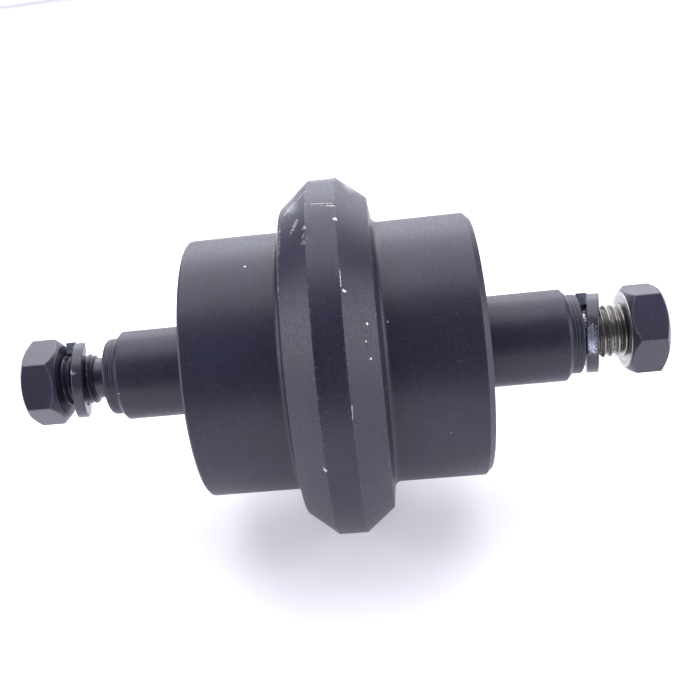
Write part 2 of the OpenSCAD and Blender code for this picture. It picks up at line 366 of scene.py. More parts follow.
@dataclass(frozen=True)
class CoatedSteel(Finish):
    """Steel under a thin dark coat: sprayed satin paint, or a blackening bath.

    The eye sees a dark blue-grey with a broad soft sheen, faint turning marks that the coat follows,
    dull paler rubs, and ragged bright spots where the coat is knocked off.

    cloud, peel, tear_size, marks_pitch, speck_cell and relief are in millimetres. edge_wear is how
    strongly edges are rubbed, grain how strongly the fine noise tears a scuff, and chip_depth how
    deep the bare spots lie, as a multiple of relief.
    """

    coat: str = "262539"
    coat_deep: str = "1e1d2e"
    coat_pale: str = "373648"
    rub: str = "8b8b93"
    # painted shade: the dark colour that hollows are blended towards
    shade_colour: str = "1b1a1f"
    steel: str = "cfccc8"
    steel_deep: str = "8a8784"
    coat_roughness: float = 0.4
    coat_ior: float = 1.5
    grain: float = 2.4
    steel_roughness: float = 0.3
    cloud: float = 24.0
    peel: float = 0.8
    tear_size: float = 1.1
    marks_pitch: float = 0.9
    edge_wear: float = 0.08
    speck_cell: float = 15.0
    speck_size: float = 0.03
    # how strongly the painted shade darkens the hollows
    shade_share: float = 0.55
    chip_depth: float = 1.6
    scuffs: tuple[Scuff, ...] = ()
    rubs: tuple[Scuff, ...] = ()
    relief: float = 0.035

    def material(self) -> bpy.types.Material:
        """Builds the coat, its wear and the metal under it.

        Returns:
            The material.
        """
        r = Recipe(self.name)
        mm, radius = self.coordinates(r)
        cloud = r.noise(mm, self.cloud, 4.0, 0.55)
        peel = r.noise(mm, self.peel, 2.0)
        ragged = r.noise(mm, self.tear_size, 6.0, 0.65)
        turned = self.turning_marks(r, mm, radius, self.marks_pitch)
        mark = {m: r.add("ShaderNodeAttribute", attribute_name=m.value).outputs["Fac"]
                for m in Mark}

        coat = r.blend(r.stretch(cloud, 0.35, 0.65), self.coat_deep, self.coat)
        coat = r.blend(r.stretch(turned, 0.52, 0.85, 0.0, 0.3), coat, self.coat_pale)
        worn = r.math("ADD", r.math("MULTIPLY", mark[Mark.EDGE], self.edge_wear), ragged)
        wear = Wear(mark[Mark.BARE], worn, ragged, peel)
        coat = r.blend(self.rubbed(r, mm, wear), coat, self.rub)
        # painted shade: darkens the coat in inner corners and thread roots, by the hollows' attribute
        coat = r.blend(r.math("MULTIPLY", mark[Mark.GRIME], self.shade_share), coat, self.shade_colour)

        bare = self.bared(r, mm, wear)
        metal = r.blend(r.stretch(turned, 0.3, 0.6), self.steel_deep, self.steel)
        dull = r.stretch(peel, 0.3, 0.7, self.coat_roughness - 0.06, self.coat_roughness + 0.1)
        rough = r.add("ShaderNodeMix", {3: self.steel_roughness}, {0: bare, 2: dull},
                      data_type="FLOAT").outputs[0]
        skin = r.math("MULTIPLY_ADD", turned, 0.5, peel)
        height = r.math("MULTIPLY_ADD", bare, -self.chip_depth, skin)
        return r.finish({"IOR": self.coat_ior},
                        {"Base Color": r.blend(bare, coat, metal), "Metallic": bare,
                         "Roughness": rough, "Normal": r.bump(height, self.relief)})

    def rubbed(self, r: Recipe, mm: Any, wear: Wear) -> Any:
        """Where the coat is rubbed dull and pale: along the edges and in drawn-out patches.

        Args:
            r: the material's tree.
            mm: coordinates in millimetres.
            wear: what the wear is worked out from.

        Returns:
            The rub's share, from 0 to 0.8.
        """
        share = r.stretch(wear.worn, 0.6, 1.0, 0.0, 0.55)
        for rub in self.rubs:
            soft = r.math("MULTIPLY_ADD", wear.ragged, 1.1, self.reach(r, mm, rub))
            share = r.math("MAXIMUM", share, r.stretch(soft, 1.5, 0.7, 0.0, 0.8))
        return share

    def bared(self, r: Recipe, mm: Any, wear: Wear) -> Any:
        """Where bright metal shows: bare areas, sharp edges, specks and scuffs, all torn by noise.

        Args:
            r: the material's tree.
            mm: coordinates in millimetres.
            wear: what the wear is worked out from.

        Returns:
            The metal's share, from 0 to 1.
        """
        tear = r.math("SUBTRACT", wear.ragged, 0.5)
        fine = r.math("SUBTRACT", wear.fine, 0.5)
        share = r.stretch(r.math("MULTIPLY_ADD", tear, 1.1, wear.bare), 0.42, 0.56)
        edge = r.stretch(r.math("MULTIPLY_ADD", tear, 2.2, wear.worn), 1.25, 1.4)
        share = r.math("MAXIMUM", share, edge)
        cell = r.add("ShaderNodeTexVoronoi", {"Scale": 1 / self.speck_cell},
                     {"Vector": mm}).outputs["Distance"]
        speck = r.stretch(cell, self.speck_size, self.speck_size * 0.6)
        share = r.math("MAXIMUM", share, speck)
        for scuff in self.scuffs:
            torn = r.math("MULTIPLY_ADD", tear, 1.3, self.reach(r, mm, scuff))
            torn = r.math("MULTIPLY_ADD", fine, self.grain, torn)
            share = r.math("MAXIMUM", share, r.stretch(torn, 1.0, 0.8))
        return share


@dataclass(frozen=True)
class MachinedMetal(Finish):
    """Bare metal as a lathe or a lapping plate leaves it: fine rings, slight stains, a metal sheen."""

    metal: str = "96979c"
    metal_deep: str = "6d6e73"
    roughness: float = 0.34
    marks_pitch: float = 0.35
    stain_size: float = 7.0
    relief: float = 0.01

    def material(self) -> bpy.types.Material:
        """Builds the metal with its rings and stains.

        Returns:
            The material.
        """
        r = Recipe(self.name)
        mm, radius = self.coordinates(r)
        turned = self.turning_marks(r, mm, radius, self.marks_pitch)
        stain = r.noise(mm, self.stain_size, 5.0)
        share = r.stretch(r.math("MULTIPLY_ADD", turned, 0.6, stain), 0.6, 1.0)
        rough = r.stretch(stain, 0.3, 0.7, self.roughness + 0.1, self.roughness - 0.05)
        return r.finish({"Metallic": 1.0},
                        {"Base Color": r.blend(share, self.metal_deep, self.metal),
                         "Roughness": rough, "Normal": r.bump(turned, self.relief)})


@dataclass(frozen=True)
class MouldedRubber(Finish):
    """Black nitrile rubber from a mould: nearly black, dull, with a fine even grain and a grey bloom."""

    rubber: str = "1d1d1f"
    bloom: str = "3a3a3c"
    roughness: float = 0.62
    grain_size: float = 0.25
    bloom_size: float = 5.0
    relief: float = 0.02

    def material(self) -> bpy.types.Material:
        """Builds the rubber with its grain and bloom.

        Returns:
            The material.
        """
        r = Recipe(self.name)
        mm, _ = self.coordinates(r)
        grain = r.noise(mm, self.grain_size, 2.0)
        bloom = r.noise(mm, self.bloom_size, 4.0)
        share = r.stretch(bloom, 0.45, 0.8, 0.0, 0.6)
        rough = r.stretch(bloom, 0.3, 0.7, self.roughness - 0.08, self.roughness + 0.12)
        return r.finish({}, {"Base Color": r.blend(share, self.rubber, self.bloom),
                             "Roughness": rough, "Normal": r.bump(grain, self.relief)})


# ---------------------------------------------------------------- surfaces on grids


@dataclass
class Patch:
    """A grid of points in millimetres, rows by columns by 3, with a value per point for each mark."""

    points: np.ndarray
    marks: dict[Mark, np.ndarray] = field(default_factory=dict)


def round_corners(corners: np.ndarray, radii: np.ndarray, steps: int = 5) -> np.ndarray:
    """Replaces each corner of an open line by an arc that touches both its sides.

    The arc starts r / tan(half the corner's angle) from the corner, its centre is on the bisector,
    and its points are a spherical blend of the two spokes. An arc never takes more than 0.45 of a
    side. The first and last points stay.

    Args:
        corners: points, n by 2.
        radii: one radius per point.
        steps: spans in each arc.

    Returns:
        The rounded line, m by 2.
    """
    before = np.roll(corners, 1, 0) - corners
    after = np.roll(corners, -1, 0) - corners
    len_before = np.linalg.norm(before, axis=1) + 1e-12
    len_after = np.linalg.norm(after, axis=1) + 1e-12
    u = before / len_before[:, None]
    v = after / len_after[:, None]
    angle = np.arccos(np.clip((u * v).sum(1), -1, 1))
    half = np.clip(angle / 2, 1e-3, None)
    reach = np.minimum(radii / np.tan(half), 0.45 * np.minimum(len_before, len_after))
    straight = (np.pi - angle < 1e-3) | (radii <= 0)
    straight[[0, -1]] = True
    radius = reach * np.tan(half)
    middle = u + v
    middle /= np.linalg.norm(middle, axis=1)[:, None] + 1e-12
    centre = corners + middle * (radius / np.sin(half))[:, None]
    spoke_a = corners + u * reach[:, None] - centre
    spoke_b = corners + v * reach[:, None] - centre
    sweep = np.where(straight, 1.0, np.pi - angle)[:, None, None]
    s = np.linspace(0, 1, steps + 1)[None, :, None]
    arc = centre[:, None] + (np.sin((1 - s) * sweep) * spoke_a[:, None]
                             + np.sin(s * sweep) * spoke_b[:, None]) / np.sin(sweep)
    arc = np.where(straight[:, None, None], corners[:, None], arc).reshape(-1, 2)
    keep = np.r_[True, np.linalg.norm(np.diff(arc, axis=0), axis=1) > 1e-6]
    return arc[keep]


def divide(line: np.ndarray, longest: Callable[[np.ndarray], np.ndarray]) -> np.ndarray:
    """Divides each side of a line into equal parts, so that none is over the length allowed there.

    Args:
        line: points, n by 2.
        longest: gives the longest part allowed at each of an array of points.

    Returns:
        The divided line.
    """
    side = np.diff(line, axis=0)
    length = np.linalg.norm(side, axis=1)
    parts = np.maximum(1, np.ceil(length / longest(line[:-1] + side / 2))).astype(int)
    which = np.repeat(np.arange(len(side)), parts)
    share = (np.arange(len(which)) - np.repeat(np.cumsum(parts) - parts, parts)) / parts[which]
    return np.vstack([line[which] + share[:, None] * side[which], line[-1:]])


def near(points: np.ndarray, corners: np.ndarray, reach: float) -> np.ndarray:
    """How near each point is to the nearest of some corners: exp(-(distance / reach) squared).

    Args:
        points: n by 2.
        corners: k by 2.
        reach: the distance at which the value has fallen to 0.37.

    Returns:
        n values from 0 to 1.
    """
    if len(corners) == 0:
        return np.zeros(len(points))
    gap = np.linalg.norm(points[:, None] - np.asarray(corners)[None], axis=2).min(1)
    return np.exp(-(gap / reach) ** 2)


def revolve(line: np.ndarray, columns: int) -> np.ndarray:
    """Turns a line about the shaft's axis: x = r sin(angle), y = station, z = r cos(angle).

    Args:
        line: radius and station of each point, n by 2.
        columns: spans round the axis.

    Returns:
        A grid of n by columns + 1 points, whose last column lies on its first.
    """
    angle = np.linspace(0, 2 * np.pi, columns + 1)
    r, y = line[:, :1], line[:, 1:]
    return np.stack([r * np.sin(angle), y + 0 * angle, r * np.cos(angle)], axis=2)


def ding(points: np.ndarray, dings: Sequence[Scuff]) -> np.ndarray:
    """Presses shallow dents into a turned surface.

    Each point moves towards the axis by depth times exp(-distance squared / length squared).

    Args:
        points: grid of points.
        dings: where the dents are. length is their reach and depth how deep they go.

    Returns:
        The dented grid.
    """
    if not dings:
        return points
    centres = np.array([d.centre() for d in dings])
    reach = np.array([d.length for d in dings])
    depth = np.array([d.depth for d in dings])
    gap = np.linalg.norm(points[:, :, None] - centres[None, None], axis=3)
    inward = (depth * np.exp(-(gap / reach) ** 2)).sum(2)[:, :, None]
    radial = points * [1, 0, 1]
    size = np.linalg.norm(radial, axis=2, keepdims=True) + 1e-9
    return points - radial / size * np.minimum(inward, size * 0.5)


def build(name: str, patches: Sequence[Patch], finish: bpy.types.Material, body: str,
          nodes: Sequence[str], crease: float = 38.0) -> bpy.types.Object:
    """Joins grids into one closed mesh, dresses it and hangs it on its body.

    Each grid becomes quads between neighbouring rows and columns. Points that coincide are then
    merged, which closes the seams and the poles, and the faces are turned outwards.

    Args:
        name: the piece's name.
        patches: the grids, in millimetres.
        finish: its material.
        body: the CAD body it rides on.
        nodes: the CAD nodes it stands for.
        crease: edges sharper than this many degrees are shaded as edges.

    Returns:
        The finished object.
    """
    points, faces, start = [], [], 0
    marks: dict[Mark, list[np.ndarray]] = {m: [] for m in Mark}
    for patch in patches:
        rows, columns = patch.points.shape[:2]
        corner = start + (np.arange(rows - 1)[:, None] * columns + np.arange(columns - 1)).ravel()
        faces.append(np.stack([corner, corner + 1, corner + columns + 1, corner + columns], 1))
        points.append(patch.points.reshape(-1, 3))
        for mark in Mark:
            value = patch.marks.get(mark, 0.0)
            marks[mark].append(np.broadcast_to(value, (rows, columns)).ravel())
        start += rows * columns
    mesh = bpy.data.meshes.new(name)
    mesh.from_pydata(np.vstack(points) * MM, [], np.vstack(faces).tolist())
    for mark, values in marks.items():
        layer = mesh.attributes.new(mark.value, "FLOAT", "POINT")
        layer.data.foreach_set("value", np.concatenate(values).astype(np.float32))
    work = bmesh.new()
    work.from_mesh(mesh)
    bmesh.ops.remove_doubles(work, verts=work.verts, dist=2e-6)
    bmesh.ops.dissolve_degenerate(work, edges=work.edges, dist=1e-7)
    bmesh.ops.recalc_face_normals(work, faces=work.faces)
    work.to_mesh(mesh)
    open_edges = sum(1 for e in work.edges if not e.is_manifold)
    work.free()
    mesh.shade_smooth()
    mesh.set_sharp_from_angle(angle=math.radians(crease))
    mesh.materials.append(finish)
    piece = bpy.data.objects.new(name, mesh)
    bpy.context.scene.collection.objects.link(piece)
    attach(piece, body)
    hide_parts(*nodes)
    low = np.min([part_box(n)[0] for n in nodes], axis=0)
    high = np.max([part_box(n)[1] for n in nodes], axis=0)
    own = np.vstack(points) * MM
    slack = max(np.abs(own.min(0) - low).max(), np.abs(own.max(0) - high).max()) / MM
    log.info("%s: %d faces, %d open edges, box within %.2f mm of its solids",
             name, len(mesh.polygons), open_edges, slack)
    return piece


# ---------------------------------------------------------------- the pieces


@dataclass
class TurnedPiece:
    """A piece turned on a lathe: a line of corners, each with its rounding, spun about the shaft.

    corners holds (radius, station, rounding) for each corner in order. A closed line repeats its
    first corner. worn, chipped and the last list hold (radius, station) of edges that are rubbed, of
    edges whose coat is broken, and of inner corners that are darkened with painted shade. Each has a
    reach, the distance at which it has faded to 0.37.
    """

    name: str
    corners: Sequence[tuple[float, float, float]]
    columns: int = 192
    longest: float = 2.0
    worn: Sequence[tuple[float, float]] = ()
    chipped: Sequence[tuple[float, float]] = ()
    # inner corners that get painted shade
    shaded_corners: Sequence[tuple[float, float]] = ()
    dings: Sequence[Scuff] = ()
    fine_radius: float = 0.0
    worn_reach: float = 1.1
    chip_reach: float = 0.5
    chip_share: float = 0.4
    # reach of the painted shade round those corners
    shade_reach: float = 1.6

    def patch(self) -> Patch:
        """Spins the rounded line. Points inside fine_radius are spaced five times wider.

        Returns:
            The surface with its wear.
        """
        corners = np.array(self.corners, float)
        line = round_corners(corners[:, :2], corners[:, 2])
        line = divide(line, lambda p: np.where(p[:, 0] >= self.fine_radius, self.longest,
                                               5 * self.longest))
        edge = near(line, np.array(self.worn), self.worn_reach)
        # painted shade, strongest at the listed inner corners
        grime = near(line, np.array(self.shaded_corners), self.shade_reach)
        bare = self.chip_share * near(line, np.array(self.chipped), self.chip_reach)
        grid = ding(revolve(line, self.columns), self.dings)
        return Patch(grid, {Mark.EDGE: edge[:, None], Mark.GRIME: grime[:, None],
                            Mark.BARE: bare[:, None]})

    def make(self, finish: bpy.types.Material, body: str, slot: str, node: str) -> bpy.types.Object:
        """Builds the piece.

        Args:
            finish: its material.
            body: the CAD body it rides on.
            slot: its material slot; not used.
            node: the CAD node it stands for.

        Returns:
            The finished object.
        """
        return build(self.name, [self.patch()], finish, body, [node])


@dataclass
class RollerBody:
    """The body with its two treads, bevelled centre flange and a seal recess in each end."""

    tread_r: float = 50.0
    flange_r: float = 68.0
    flange_top: float = 5.2
    shoulder_r: float = 59.5
    shoulder_y: float = 16.0
    root_y: float = 17.25
    half: float = 53.0
    rim: dict[Side, float] = field(default_factory=lambda: {Side.LEFT: 0.8, Side.RIGHT: 2.2})
    recess_r: float = 39.0
    cup_r: float = 35.0
    cup_lip: float = 40.5
    cup_floor: float = 35.0
    bush_flange_r: float = 30.05
    bush_flange_y: float = 32.0
    bush_seat_r: float = 22.05
    bush_start: float = 11.0
    reservoir_r: float = 27.05

    def half_line(self, side: Side) -> list[tuple[float, float, float]]:
        """Corners of one half, from the flange's top to the oil reservoir.

        Args:
            side: which half.

        Returns:
            Radius, station and rounding of each corner.
        """
        rim = self.rim[side]
        line = [(self.flange_r, self.flange_top, 0.5), (self.shoulder_r, self.shoulder_y, 0.9),
                (self.tread_r, self.root_y, 2.3), (self.tread_r, self.half - rim, 0.35),
                (self.tread_r - rim, self.half, 0.35), (self.recess_r + 0.5, self.half, 0.1),
                (self.recess_r, self.half - 0.5, 0.1), (self.recess_r, self.cup_lip, 0.3),
                (self.cup_r, self.cup_lip, 0.3), (self.cup_r, self.cup_floor, 0.4),
                (self.bush_flange_r, self.cup_floor, 0.1),
                (self.bush_flange_r, self.bush_flange_y, 0.1),
                (self.bush_seat_r, self.bush_flange_y, 0.2), (self.bush_seat_r, self.bush_start, 0.2),
                (self.reservoir_r, self.bush_start, 1.0)]
        return [(r, y * side.value, rounding) for r, y, rounding in line]

    def make(self, finish: bpy.types.Material) -> bpy.types.Object:
        """Builds the body.

        Args:
            finish: its paint.

        Returns:
            The finished object.
        """
        right, left = self.half_line(Side.RIGHT), self.half_line(Side.LEFT)
        top = (self.flange_r, 0.0, 0.0)
        corners = [top, *right, *left[::-1], top]
        worn = [(self.flange_r, s * self.flange_top) for s in (-1, 1)]
        worn += [(self.shoulder_r, s * self.shoulder_y) for s in (-1, 1)]
        chipped = [(self.tread_r - 0.3, -self.half + 0.3)]
        # painted shade in the fillets where the treads meet the flange
        shaded_corners = [(self.tread_r + 0.5, s * (self.root_y + 0.5)) for s in (-1, 1)]
        piece = TurnedPiece("roller_body", corners, columns=384, longest=1.3, worn=worn,
                            chipped=chipped, shaded_corners=shaded_corners, fine_radius=40.0, dings=FLANGE_DINGS)
        return piece.make(finish, "roller", "body_paint", "roller_shell")


@dataclass
class ThroughShaft:
    """The shaft: bush and frame seats, shoulders, spigots, tapped holes and the oil gallery."""

    seat_r: float = 17.5
    spigot_r: float = 15.0
    shoulder: float = 86.0
    chamfer: float = 1.5
    end: dict[Side, float] = field(default_factory=lambda: {Side.LEFT: 91.0, Side.RIGHT: 90.5})
    edge: dict[Side, float] = field(default_factory=lambda: {Side.LEFT: 2.5, Side.RIGHT: 1.5})
    hole_r: float = 10.15
    hole_depth: float = 38.0
    mouth: float = 1.2
    pitch: float = 2.5
    thread_start: float = 1.6
    thread_turns: int = 12
    thread_cut: float = 0.75
    flank: float = 0.9
    root_flat: float = 0.3
    tool_mark: float = 0.14
    tool_mark_w: float = 0.5
    groove_y: float = 49.5
    groove_w: float = 1.5
    groove_depth: float = 1.0
    plug_r: float = 5.0
    plug_len: float = 8.0
    gallery_r: float = 3.0
    gallery_end: float = -6.0

    def spigot_mark(self, station: float) -> list[tuple[float, float, float]]:
        """A fine groove that the turning tool left round the spigot.

        Args:
            station: where it starts.

        Returns:
            Radius, station and rounding of its corners.
        """
        depths = (0.0, self.tool_mark, 0.0)
        return [(self.spigot_r - depth, station + i * self.tool_mark_w / 2, 0.1)
                for i, depth in enumerate(depths)]

    def tapped_turn(self, start: float) -> list[tuple[float, float, float]]:
        """One ring of the tapped hole's thread: a flank, the flat at its root and the other flank.

        Args:
            start: the ring's outer station.

        Returns:
            Radius, station and rounding of its corners.
        """
        root = self.hole_r + self.thread_cut
        spans = ((self.hole_r, 0.0), (root, self.flank), (root, self.flank + self.root_flat),
                 (self.hole_r, 2 * self.flank + self.root_flat))
        return [(r, start - span, 0.05) for r, span in spans]

    def half_line(self, side: Side) -> list[tuple[float, float, float]]:
        """Corners of one half, from the retaining ring's groove to the bottom of the tapped hole.

        Args:
            side: which half.

        Returns:
            Radius, station and rounding of each corner.
        """
        end, edge = self.end[side], self.edge[side]
        line = [(self.seat_r, self.groove_y, 0.05), (self.seat_r - self.groove_depth, self.groove_y, 0.1),
                (self.seat_r - self.groove_depth, self.groove_y + self.groove_w, 0.1),
                (self.seat_r, self.groove_y + self.groove_w, 0.05),
                (self.seat_r, self.shoulder - self.chamfer, 0.35),
                (self.seat_r - self.chamfer, self.shoulder, 0.3),
                (self.spigot_r, self.shoulder, 0.25), *self.spigot_mark(self.shoulder + 1.2),
                *self.spigot_mark(end - edge - 0.6), (self.spigot_r, end, edge),
                (self.hole_r + self.mouth, end, 0.15), (self.hole_r, end - self.mouth, 0.15)]
        for turn in range(self.thread_turns):
            line += self.tapped_turn(end - self.thread_start - turn * self.pitch)
        floor = end - self.hole_depth
        line += [(self.hole_r, floor, 0.4)]
        if side is Side.RIGHT:
            plug = floor - self.plug_len
            line += [(self.plug_r, floor, 0.05), (self.plug_r, plug, 0.05),
                     (self.gallery_r, plug, 0.05), (self.gallery_r, self.gallery_end, 0.5),
                     (0.0, self.gallery_end, 0.0)]
        else:
            line += [(0.0, floor, 0.0)]
        return [(r, y * side.value, rounding) for r, y, rounding in line]

    def make(self, finish: bpy.types.Material) -> bpy.types.Object:
        """Builds the shaft.

        Args:
            finish: its paint.

        Returns:
            The finished object.
        """
        corners = [*self.half_line(Side.LEFT)[::-1], *self.half_line(Side.RIGHT)]
        worn = [(self.seat_r - 0.5, s.value * (self.shoulder - 0.5)) for s in Side]
        # painted shade in the corners where the spigots meet the shoulders
        shaded_corners = [(self.spigot_r, s.value * self.shoulder) for s in Side]
        crest = self.thread_start - 0.2
        chipped = [(self.hole_r, s.value * (self.end[s] - crest - turn * self.pitch))
                   for s in Side for turn in range(self.thread_turns)]
        piece = TurnedPiece("through_shaft", corners, columns=192, longest=1.5, worn=worn,
                            chipped=chipped, shaded_corners=shaded_corners)
        return piece.make(finish, "shaft_group", "shaft_paint", "shaft")


@dataclass
class EndFittings:
    """What sits between body and shaft at one end: bush, fixed collar and the pair of seal rings.

    bush_y holds the bush's start, flange and end, and collar_y the collar's hub end, lip, web and
    outer face. oring_groove holds two stations and the radius of its floor. seal_section holds
    radius, distance from the running face and rounding of a seal ring's corners.
    """

    side: Side
    shaft_r: float = 17.5
    bush_bore_r: float = 17.55
    bush_r: float = 22.05
    bush_flange_r: float = 30.05
    bush_y: tuple[float, float, float] = (11.0, 32.0, 35.0)
    hub_r: float = 24.5
    collar_r: float = 38.5
    cup_r: float = 35.0
    collar_y: tuple[float, float, float, float] = (35.25, 41.5, 47.0, 49.5)
    seal_y: float = 41.0
    oring_groove: tuple[float, float, float] = (38.4, 41.6, 19.5)
    seal_section: tuple[tuple[float, float, float], ...] = (
        (28.2, 0.01, 0.05), (31.5, 0.01, 0.05), (31.5, 0.8, 0.15), (30.1, 0.8, 0.3),
        (29.6, 5.1, 0.3), (26.6, 5.1, 0.3), (26.6, 1.6, 0.3), (28.2, 0.8, 0.2))

    def place(self, corners: Sequence[tuple[float, float, float]]) -> list[tuple[float, float, float]]:
        """Puts corners on this piece's side and closes them into a loop.

        Args:
            corners: radius, station and rounding of each, as on the right side.

        Returns:
            The loop.
        """
        loop = [(r, y * self.side.value, rounding) for r, y, rounding in corners]
        return [*loop, loop[0]]

    def bush(self, finish: bpy.types.Material) -> bpy.types.Object:
        """Builds the flanged bush, which is pressed into the body.

        Args:
            finish: its metal.

        Returns:
            The finished object.
        """
        start, flange, end = self.bush_y
        middle = (start + end) / 2
        corners = self.place([
            (self.bush_bore_r, middle, 0), (self.bush_bore_r, start, 0.5), (self.bush_r, start, 0.8),
            (self.bush_r, flange, 0.2), (self.bush_flange_r, flange, 0.3),
            (self.bush_flange_r, end, 0.5), (self.bush_bore_r, end, 0.6)])
        piece = TurnedPiece("thrust_bush_" + self.side.word, corners, columns=128)
        return piece.make(finish, "roller", "bush_bronze", "bush_" + self.side.word)

    def collar(self, finish: bpy.types.Material) -> bpy.types.Object:
        """Builds the fixed collar that closes the end of the body.

        Args:
            finish: its paint.

        Returns:
            The finished object.
        """
        inner, lip, web, face = self.collar_y
        groove_in, groove_out, groove_r = self.oring_groove
        corners = self.place([
            (self.shaft_r, face - 4, 0), (self.shaft_r, groove_out, 0.1), (groove_r, groove_out, 0.2),
            (groove_r, groove_in, 0.2), (self.shaft_r, groove_in, 0.1), (self.shaft_r, inner, 0.4),
            (self.hub_r, inner, 0.4), (self.hub_r, web, 0.6), (self.cup_r, web, 0.8),
            (self.cup_r, lip, 0.3), (self.collar_r, lip, 0.3), (self.collar_r, face, 0.8),
            (self.shaft_r + 0.3, face, 0.1), (self.shaft_r, face - 0.3, 0.1)])
        piece = TurnedPiece("end_collar_" + self.side.word, corners, columns=160, longest=1.5,
                            worn=[(self.collar_r, self.side.value * face)])
        return piece.make(finish, "shaft_group", "collar_iron", "collar_" + self.side.word)

    def seal_ring(self, finish: bpy.types.Material, way: int) -> bpy.types.Object:
        """Builds one metal ring of the face seal.

        Args:
            finish: its metal.
            way: 1 for the fixed ring and -1 for the running one.

        Returns:
            The finished object.
        """
        corners = self.place([(r, self.seal_y + way * y, rounding)
                              for r, y, rounding in self.seal_section])
        word, body = ("static", "shaft_group") if way == 1 else ("running", "roller")
        piece = TurnedPiece(f"face_seal_{word}_{self.side.word}", corners, columns=128)
        return piece.make(finish, body, "seal_metal", f"seal_ring_{word}_{self.side.word}")


